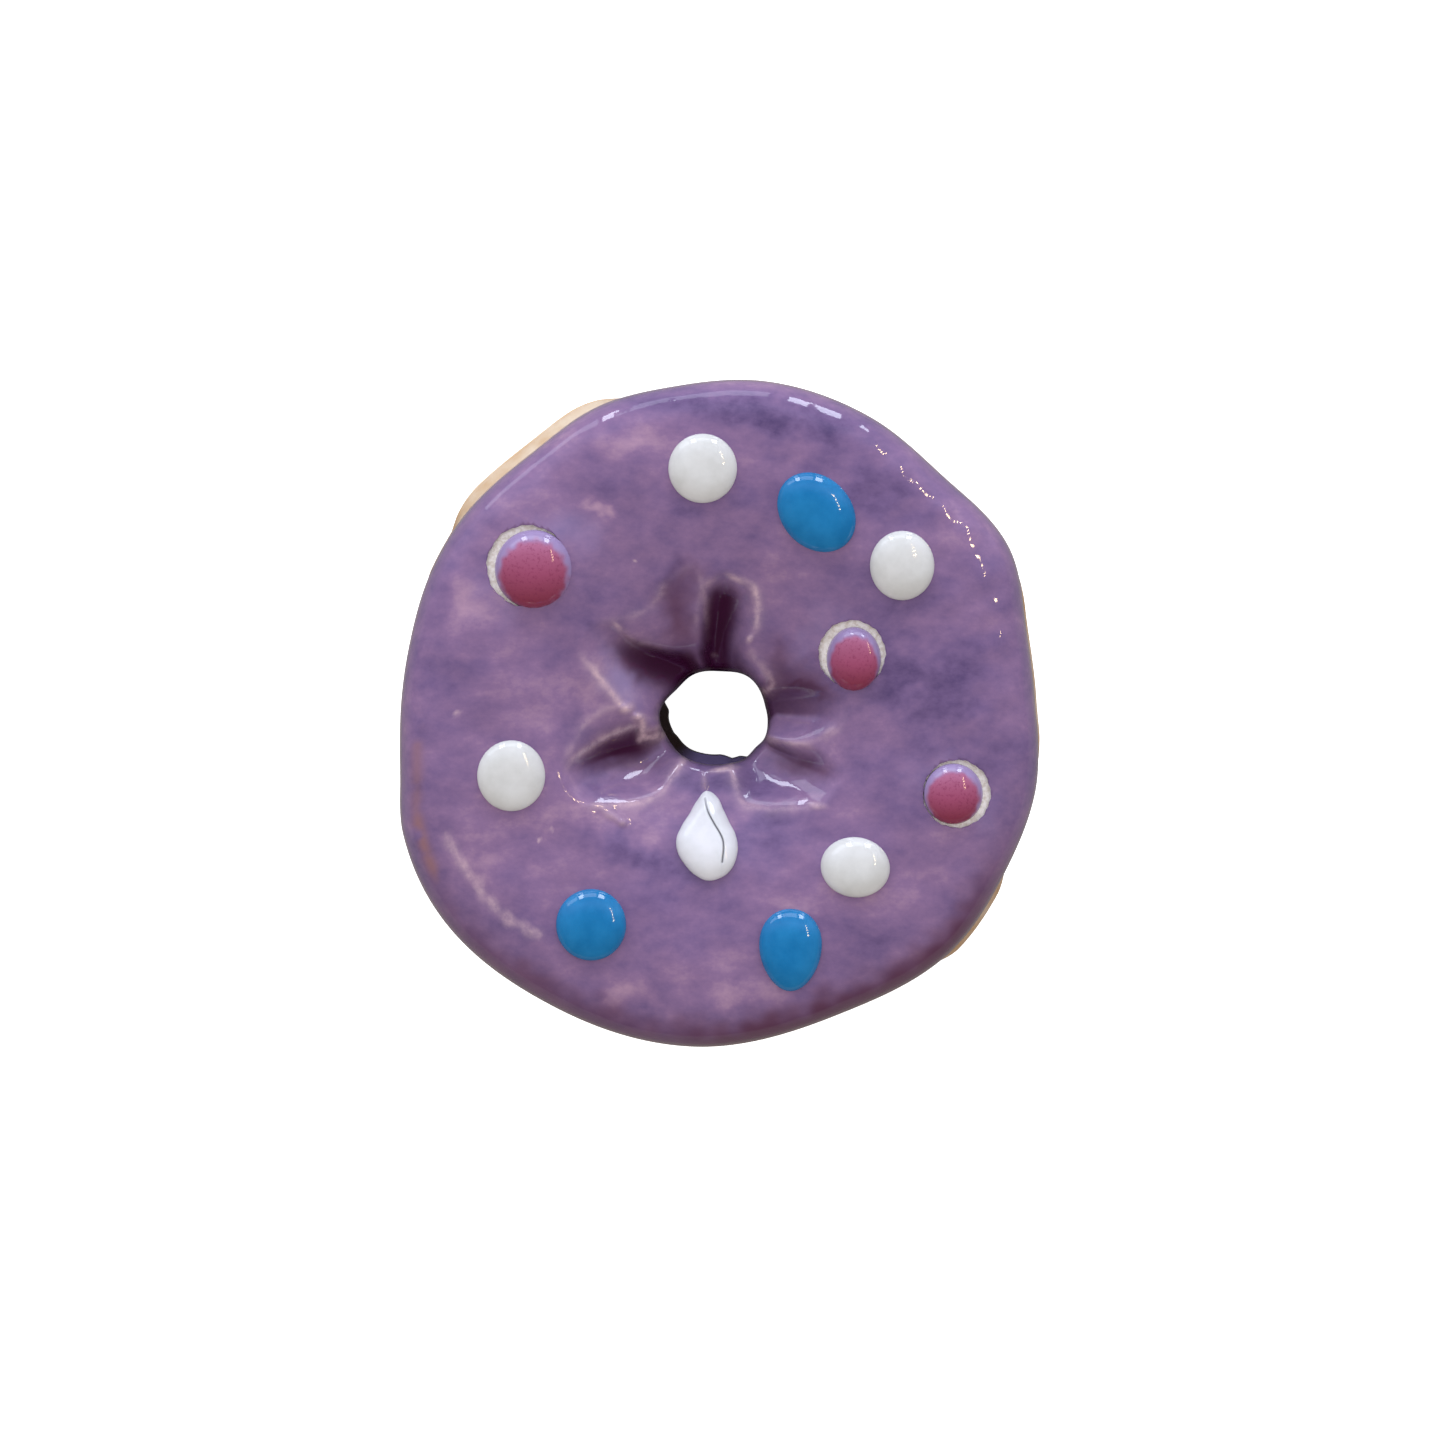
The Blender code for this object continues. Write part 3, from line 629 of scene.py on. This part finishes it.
def glazeMaterial():
    # Brushed purple glaze, fired glossy: cloudy where it lies thick, pink and pale where it breaks thin, and
    # wine dark where it pools, with painted shade in the folds, at the front rim and in spots, and a painted
    # sheen on one fold's wall
    material, tree, shader, place = startMaterial("brushedPurpleGlaze")
    brushed = addNode(tree, "ShaderNodeMapping", {}, {"Vector": place, "Scale": (0.7, 1.0, 1.0)}).outputs[0]
    cloud = addNoise(tree, brushed, size=11, detail=5.0, roughness=0.6, distortion=0.4)
    cloud = addRange(tree, cloud, toLow=0.2, toHigh=0.8)
    mottle = addNoise(tree, brushed, size=3, detail=4.0, roughness=0.65)
    plain = addNode(tree, "ShaderNodeMix", {"data_type": "FLOAT"}, {0: 0.4, 2: cloud, 3: mottle}).outputs[0]
    tone = addMath(tree, "MULTIPLY_ADD", readAttribute(tree, "tone"), 0.15, plain)
    colour = addRamp(tree, tone, [(0.26, "#55446B"), (0.42, "#776087"), (0.56, "#8E7093"), (0.78, "#BC98AA")])
    haze = addMath(tree, "MULTIPLY", readAttribute(tree, "haze"), 0.35)
    colour = mixColours(tree, haze, colour, "#A798C2")
    # The ochre line, then painted shade in wine and in the pooled glaze's dark
    for name, tint in (("ochre", "#9A6F6C"), ("wine", "#5F3A50"), ("pool", "#3A0F30")):
        colour = mixColours(tree, readAttribute(tree, name), colour, tint)
    flecks = addNoise(tree, place, size=1.6, detail=4.0, roughness=0.75)
    flecks = addRange(tree, flecks, fromLow=0.35, fromHigh=0.6, toLow=0.45)
    crest = addMath(tree, "MULTIPLY", readAttribute(tree, "crest"), flecks)
    colour = mixColours(tree, crest, colour, "#D8B8BE")
    peel = addNoise(tree, place, size=2.2, detail=2.0)
    tree.links.new(colour, shader.inputs["Base Color"])
    tree.links.new(addBump(tree, peel, 0.12, 0.35), shader.inputs["Normal"])
    shader.inputs["Roughness"].default_value = 0.05
    shader.inputs["IOR"].default_value = 1.52
    return material


def patchTone(x, y, spots):
    # Sum of soft spots whose borders waver like brush strokes
    shiftX = x + 1.3 * waves(x, y, 21, 9.0) + 0.4 * waves(x, y, 22, 2.5)
    shiftY = y + 0.9 * waves(x, y, 23, 7.0) + 0.3 * waves(x, y, 24, 2.0)
    tone = np.zeros_like(x)
    for middleX, middleY, halfX, halfY, turn, amount in spots:
        tone += amount * softSpot(shiftX, shiftY, middleX, middleY, halfX, halfY, turn)
    return tone


def cutSockets(mesh):
    # Round openings through the glaze, cut with one cutter for each pink dot
    coat = bpy.data.objects.new("coat", mesh)
    bpy.context.scene.collection.objects.link(coat)
    cutters = []
    for number, ((x, y), radius) in enumerate(glaze["sockets"]):
        bm = bmesh.new()
        bmesh.ops.create_cone(bm, cap_ends=True, segments=glaze["socketSides"], radius1=radius * mm,
                              radius2=radius * mm, depth=glaze["cutterDepth"] * mm)
        for vert in bm.verts:
            angle = math.atan2(vert.co.y, vert.co.x)
            ragged = 1 + 0.012 * math.sin(9 * angle + number) + 0.01 * math.sin(23 * angle + 2 * number)
            vert.co.x *= ragged
            vert.co.y *= ragged
        bmesh.ops.translate(bm, verts=bm.verts[:], vec=(x * mm, y * mm, glaze["socketHeight"] * mm))
        cutterMesh = bpy.data.meshes.new("socketCutter")
        bm.to_mesh(cutterMesh)
        bm.free()
        cutter = bpy.data.objects.new("socketCutter", cutterMesh)
        bpy.context.scene.collection.objects.link(cutter)
        cutters.append(cutter)
        cut = coat.modifiers.new("socket", "BOOLEAN")
        cut.operation = "DIFFERENCE"
        cut.object = cutter
        cut.solver = "MANIFOLD"
    bpy.context.view_layer.update()
    result = bpy.data.meshes.new_from_object(coat.evaluated_get(bpy.context.evaluated_depsgraph_get()))
    for item in [coat, *cutters]:
        bpy.data.objects.remove(item)
    result.name = "purpleGlaze"
    return result


def paintGlaze(mesh, x, y, z, weight, bearing):
    # Marks where the glaze pools, breaks pale or clouds over, and where it is painted with shade or with a
    # sheen
    normals = np.empty(len(mesh.vertices) * 3)
    mesh.vertices.foreach_get("normal", normals)
    backwards = normals.reshape(-1, 3)[:, 1]
    # Painted shade with the pooled glaze: the pool fades on faces turned to the window behind, and the walls
    # of the folds turned from it are painted dark
    pool = readMap("depth", x, y) * (1.0 - ease(*glaze["poolShadeFades"], backwards))
    wall = ease(*glaze["wallShadeGrows"], -backwards) * ease(*glaze["wallShadeOver"], readMap("drop", x, y))
    addAttribute(mesh, "pool", np.maximum(pool, glaze["wallShade"] * wall) * weight)

    line = distanceTo(throughCurve(glaze["pulledLine"], 12), x, y) + 0.25 * waves(x, y, 51, 2.5)
    line = glaze["pulledPaleness"] * np.exp(-(line / glaze["pulledWidth"]) ** 2)
    for middleX, middleY, half in glaze["specks"]:
        line = np.maximum(line, softSpot(x, y, middleX, middleY, half, half, 0))
    addAttribute(mesh, "crest", np.maximum(readMap("pale", x, y) * weight, line))
    # Brushed tone, with painted shade in a few dark spots
    addAttribute(mesh, "tone", patchTone(x, y, glaze["patches"]))
    # Milky haze, with a painted sheen on one fold's wall
    addAttribute(mesh, "haze", patchTone(x, y, glaze["hazesAndSheen"]))

    # Painted shade in a wine dark band inside the front rim, fainter down the side, and in patches beside the
    # folds; then the ochre line by the left rim
    fromRim = aroundCurve(ring["rim"], bearing) - np.hypot(x, y)
    ragged = waves(x, y, 61, 7.0) + 0.6 * waves(x, y, 62, 2.4)
    fade = ease(*glaze["frontShadeFades"], fromRim + 0.6 * ragged)
    front = stretchAt(glaze["frontShadeBand"], bearing) * (1.0 - fade)
    front = front * (0.5 + 0.5 * ease(13.0, 22.0, z))
    patchShade = np.clip(patchTone(x, y, glaze["shadePatches"]), 0, 1) * ease(12, 18, z)
    addAttribute(mesh, "wine", np.maximum(front, patchShade))
    fromLine = (fromRim - glaze["ochreFromRim"]) / glaze["ochreWidth"]
    left = stretchAt(glaze["ochreLine"], bearing) * np.exp(-fromLine ** 2)
    addAttribute(mesh, "ochre", left * ease(-1.2, 0.8, ragged))


def makePurpleGlaze():
    outer = throughCurve(ring["skin"], glaze["rows"])
    inner = sinkRows(throughCurve(ring["skin"], glaze["innerRowsPerSpan"]), glaze["thickness"])[::-1]
    mesh = spinSection("coatMesh", np.vstack((outer, inner)), glaze["steps"])
    x, y, z, weight, bearing, _ = pressRing(readPoints(mesh))
    writePoints(mesh, x, y, z)
    paintGlaze(mesh, x, y, z, weight, bearing)
    mesh = cutSockets(mesh)
    return addPiece("purpleGlaze", mesh, glazeMaterial(), ["purple_glaze"])


# Dots

# sink is how far a dot's edge goes into the layer below, and flatness and edge give the dome its shape
dotShape = {"around": 96, "rings": 48, "sink": 0.25, "flatness": 2.8, "edge": 0.5}
# Where a pink dot's lavender edge starts and is full, with how far its middle is moved and how ragged it is
lavenderEdge = {"from": 0.84, "full": 1.04, "moved": 0.16, "reach": 0.93, "ragged": 0.03}
whiteDots = [
    {"name": "whiteDotBack", "node": "white_dot_back", "middle": (-2.4, 33.9), "half": (4.8, 4.85),
     "height": 1.8},
    {"name": "whiteDotRight", "node": "white_dot_right", "middle": (25.3, 20.4), "half": (4.5, 4.85),
     "height": 1.9},
    {"name": "whiteDotLeft", "node": "white_dot_left", "middle": (-29.0, -8.8), "half": (4.75, 4.95),
     "height": 1.8},
    {"name": "whiteDotFront", "node": "white_dot_front", "middle": (18.8, -21.5), "half": (4.85, 4.2),
     "turn": -8, "height": 2.0},
]
blueDots = [
    {"name": "blueDotBack", "node": "blue_dot_back", "middle": (13.4, 27.8), "half": (6.1, 4.9),
     "turn": -47, "height": 1.9},
    {"name": "blueDotLeft", "node": "blue_dot_left", "middle": (-17.9, -29.5), "half": (4.9, 5.0),
     "height": 2.0},
    {"name": "blueDotFront", "node": "blue_dot_front", "middle": (9.8, -33.0), "half": (4.35, 5.75),
     "turn": 180, "narrowing": 0.14, "height": 2.0},
]
pinkDots = [
    {"name": "pinkDotLeft", "node": "pink_dot_left", "middle": (-25.9, 19.9), "half": (5.4, 5.5),
     "height": 2.3},
    {"name": "pinkDotMiddle", "node": "pink_dot_middle", "middle": (18.6, 7.4), "half": (3.8, 4.5),
     "height": 2.0},
    {"name": "pinkDotRight", "node": "pink_dot_right", "middle": (32.4, -11.3), "half": (4.15, 4.25),
     "height": 1.8},
]
teardrop = {"name": "whiteTeardrop", "node": "white_teardrop", "middle": (-1.8, -17.6), "height": 2.2,
            "finer": 3, "crackWidth": 0.11, "crackDepth": 0.3, "overlap": 0.18, "overlapReach": 1.2,
            "crack": [(-2.1, -11.9), (-1.7, -13.7), (-0.9, -15.3), (0.2, -17.2), (0.5, -18.6), (0.3, -20.8)],
            "outline": [(12, 4.0), (37, 3.9), (61, 4.7), (75, 5.9), (91, 6.7), (105, 5.5), (125, 4.3),
                        (155, 4.0), (180, 4.3), (204, 4.5), (230, 4.75), (252, 5.3), (271, 5.8),
                        (293, 5.7), (309, 5.4), (330, 4.8), (350, 4.35)]}


def makeDot(dot, material, depth=0.0):
    # A ball flattened to a dome whose edge goes just into the layer below it
    finer = dot.get("finer", 1)
    bm = bmesh.new()
    bmesh.ops.create_uvsphere(bm, u_segments=dotShape["around"] * finer, v_segments=dotShape["rings"] * finer,
                              radius=mm)
    mesh = bpy.data.meshes.new(dot["name"])
    bm.to_mesh(mesh)
    bm.free()
    ballX, ballY, ballZ = readPoints(mesh).T
    if "outline" in dot:
        reach = aroundCurve(dot["outline"], np.degrees(np.arctan2(ballY, ballX)) % 360.0)
        x = ballX * reach
        y = ballY * reach
    else:
        turn = math.radians(dot.get("turn", 0.0))
        across = ballX * dot["half"][0] * (1.0 - dot.get("narrowing", 0.0) * ballY)
        along = ballY * dot["half"][1]
        x = across * math.cos(turn) - along * math.sin(turn)
        y = across * math.sin(turn) + along * math.cos(turn)
    x = x + dot["middle"][0]
    y = y + dot["middle"][1]
    base = skinHeight(x, y, depth) - dotShape["sink"]
    outwards = np.minimum(np.hypot(ballX, ballY), 1.0)
    dome = np.where(ballZ > 0, (1.0 - outwards ** dotShape["flatness"]) ** dotShape["edge"], 0.0)
    height = base + dome * (dot["height"] + dotShape["sink"] + depth)
    if "crack" in dot:
        # On one side of the crack the glaze laps a little over the other
        line = throughCurve(dot["crack"], 8)
        groove = np.exp(-(distanceTo(line, x, y) / dot["crackWidth"]) ** 2) * dome
        past = np.interp(y, line[::-1, 1], line[::-1, 0]) - x
        overlap = np.exp(-np.maximum(past, 0) / dot["overlapReach"]) * ease(0.0, 0.15, past) * dome
        height = height - dot["crackDepth"] * groove + dot["overlap"] * overlap
        addAttribute(mesh, "crack", groove)
    writePoints(mesh, x, y, height)
    fromMiddle = (np.hypot(ballX, ballY + lavenderEdge["moved"]) / lavenderEdge["reach"]
                  + lavenderEdge["ragged"] * waves(x, y, 31, 1.6))
    addAttribute(mesh, "lavender", ease(lavenderEdge["from"], lavenderEdge["full"], fromMiddle))
    # The ball's Y, which the pink glaze reads for its painted shade
    addAttribute(mesh, "upper", ballY)
    return addPiece(dot["name"], mesh, material, [dot["node"]])


def plainGlazeMaterial(name, light, dark, crack=None):
    # Opaque dot glaze that was trailed on thick and fired glossy: even colour with a faint cloud in it
    material, tree, shader, place = startMaterial(name)
    cloud = addNoise(tree, place, size=3.5, detail=3.0, roughness=0.6)
    colour = addRamp(tree, cloud, [(0.35, dark), (0.65, light)])
    if crack:
        colour = mixColours(tree, readAttribute(tree, "crack"), colour, crack)
    tree.links.new(colour, shader.inputs["Base Color"])
    shader.inputs["Roughness"].default_value = 0.07
    shader.inputs["IOR"].default_value = 1.52
    return material


def pinkMaterial():
    # Translucent pink glaze over clay: lavender where it thins at the upper edge, speckled in the middle, and
    # painted shade that makes it darker red towards the bottom
    material, tree, shader, place = startMaterial("speckledPinkGlaze")
    # Painted shade and light: darker red towards the bottom, pinker towards the top
    upwards = addRange(tree, readAttribute(tree, "upper"), fromLow=-0.8, fromHigh=0.7)
    colour = addRamp(tree, upwards, [(0.0, "#8C3A50"), (0.45, "#A04E6C"), (1.0, "#AC6685")])
    specks = addNoise(tree, place, size=0.45, detail=2.0, roughness=0.7)
    specks = addRange(tree, specks, fromLow=0.52, fromHigh=0.7, toHigh=0.5)
    colour = mixColours(tree, specks, colour, "#7C2F4E")
    colour = mixColours(tree, readAttribute(tree, "lavender"), colour, "#9A86AE")
    tree.links.new(colour, shader.inputs["Base Color"])
    shader.inputs["Roughness"].default_value = 0.1
    shader.inputs["IOR"].default_value = 1.52
    return material


# Floor, light and camera

studio = {
    "floorSize": 3.0,
    "floorGap": 0.3,                   # mm below the ring's foot
    "floorSeen": "#F7F7F7",
    "floorLit": "#A09A96",             # what the glaze and the clay get back from the floor
    "cameraHeight": 1.8,
    "imageSide": 1445,
    "mmPerPixel": 0.14,
    "sensor": 36.0,
    "middlePixel": (720.0, 712.5),     # the ring's middle in the photograph
    "rimHeight": 14.0,
    # Light from all round, from the front to the back, and the room that shines back from the glaze
    "softLight": [(0.0, "#AEA8A6"), (0.5, "#BDBBBE"), (1.0, "#D3D8E8")],
    "softStrength": 1.7,
    "room": [(0.0, "#3A3434"), (0.42, "#4A4446"), (0.66, "#5E545E"), (0.84, "#A4A6CC"), (0.94, "#868098")],
    "roomStrength": 1.6,
    "ceilingShare": 0.5,
    # Window panes behind: place along it, width and brightness
    "window": {"distance": 1.25, "middle": 0.36, "height": 0.56, "colour": "#E6EEFF",
               "panes": [(-1.0, 0.75, 2.2), (-0.43, 0.22, 11.0), (-0.04, 0.48, 2.4), (0.42, 0.26, 11.0)]},
    # A chain of warm lamps to the right, seen only where the glaze shines
    "lamps": {"first": (0.48, 0.20, 0.80), "last": (0.47, 0.60, 0.74), "count": 5, "width": 0.024,
              "height": 0.08, "brightness": 45.0, "colour": "#FFDDA8"},
}


def addPanel(name, place, target, width, height, brightness, colour):
    # A glowing rectangle, whose power follows from its brightness and its size
    data = bpy.data.lights.new(name, "AREA")
    data.energy = brightness * width * height * math.pi
    data.color = hexToLinear(colour)[:3]
    data.shape = "RECTANGLE"
    data.size = width
    data.size_y = height
    panel = bpy.data.objects.new(name, data)
    panel.location = place
    way = [t - p for t, p in zip(target, place)]
    length = math.sqrt(sum(w * w for w in way))
    panel.rotation_euler = (math.acos(-way[2] / length), 0.0, math.atan2(-way[0], way[1]))
    bpy.context.scene.collection.objects.link(panel)
    return panel


def floorMaterial():
    # Matt pale paper that glows to the camera alone, and so stays even and white behind the ring
    material, tree, shader, _ = startMaterial("palePaperFloor")
    seen = addNode(tree, "ShaderNodeLightPath", {}, {}).outputs["Is Camera Ray"]
    tree.links.new(seen, shader.inputs["Emission Strength"])
    paper = mixColours(tree, seen, studio["floorLit"], studio["floorSeen"])
    tree.links.new(paper, shader.inputs["Base Color"])
    shader.inputs["Emission Color"].default_value = hexToLinear("#FFFFFF")
    shader.inputs["Roughness"].default_value = 0.9
    shader.inputs["Specular IOR Level"].default_value = 0.1
    return material


def addFloor():
    bm = bmesh.new()
    bmesh.ops.create_grid(bm, x_segments=1, y_segments=1, size=studio["floorSize"] / 2)
    mesh = bpy.data.meshes.new("floor")
    bm.to_mesh(mesh)
    bm.free()
    mesh.materials.append(floorMaterial())
    floor = bpy.data.objects.new("floor", mesh)
    floor.location = (0, 0, -studio["floorGap"] * mm)
    bpy.context.scene.collection.objects.link(floor)


def addPanels():
    window = studio["window"]
    for x, width, brightness in window["panes"]:
        addPanel("windowPane", (x, window["distance"], window["middle"]), (x, 0.0, window["middle"]),
                 width, window["height"], brightness, window["colour"])
    lamps = studio["lamps"]
    for k in range(lamps["count"]):
        share = k / (lamps["count"] - 1)
        spot = [a + (b - a) * share for a, b in zip(lamps["first"], lamps["last"])]
        lamp = addPanel("warmLamp", spot, (0, 0, 0), lamps["width"], lamps["height"], lamps["brightness"],
                        lamps["colour"])
        lamp.visible_diffuse = False


def addSurroundings():
    # Soft light all round, and a darker room that only shows in what shines
    world = bpy.data.worlds.new("studio")
    world.use_nodes = True
    tree = world.node_tree
    way = addNode(tree, "ShaderNodeTexCoord", {}, {}).outputs["Generated"]
    parts = addNode(tree, "ShaderNodeSeparateXYZ", {}, {"Vector": way})
    towardsBack = addRange(tree, parts.outputs["Y"], fromLow=-0.9, fromHigh=0.9)
    softLight = addNode(tree, "ShaderNodeBackground", {},
                        {"Color": addRamp(tree, towardsBack, studio["softLight"]),
                         "Strength": studio["softStrength"]})
    ceiling = addRange(tree, parts.outputs["Z"], fromLow=0.72, fromHigh=0.98, toLow=studio["roomStrength"],
                       toHigh=studio["roomStrength"] * studio["ceilingShare"])
    room = addNode(tree, "ShaderNodeBackground", {},
                   {"Color": addRamp(tree, towardsBack, studio["room"]), "Strength": ceiling})
    glossy = addNode(tree, "ShaderNodeLightPath", {}, {}).outputs["Is Glossy Ray"]
    both = addNode(tree, "ShaderNodeMixShader", {}, {0: glossy, 1: softLight.outputs[0], 2: room.outputs[0]})
    tree.links.new(both.outputs[0], tree.nodes["World Output"].inputs["Surface"])
    bpy.context.scene.world = world
    bpy.context.scene.view_settings.view_transform = "Standard"


def addCamera():
    side = studio["imageSide"]
    pixel = studio["mmPerPixel"] * mm
    distance = studio["cameraHeight"] - studio["rimHeight"] * mm
    data = bpy.data.cameras.new("camera")
    data.sensor_width = studio["sensor"]
    data.lens = studio["sensor"] * distance / (side * pixel)
    data.clip_end = 10.0
    camera = bpy.data.objects.new("camera", data)
    offX = (side / 2 - studio["middlePixel"][0]) * pixel
    offY = (studio["middlePixel"][1] - side / 2) * pixel
    camera.location = (offX, offY, studio["cameraHeight"])
    bpy.context.scene.collection.objects.link(camera)
    bpy.context.scene.camera = camera


addCamera()
addFloor()
addPanels()
addSurroundings()
print("stage set")

makeClayRing()
print("clay ring made")
makePurpleGlaze()
print("purple glaze made")

whiteGlaze = plainGlazeMaterial("thickWhiteGlaze", "#DBDBD6", "#D0D0CA")
blueGlaze = plainGlazeMaterial("thickBlueGlaze", "#237EB4", "#1872A8")
pinkGlaze = pinkMaterial()
for dot in whiteDots:
    makeDot(dot, whiteGlaze)
makeDot(teardrop, plainGlazeMaterial("crackedWhiteGlaze", "#E5E5E6", "#DBDCDC", "#4A4A52"))
for dot in blueDots:
    makeDot(dot, blueGlaze)
for dot in pinkDots:
    makeDot(dot, pinkGlaze, clay["depth"])
print("dots made")
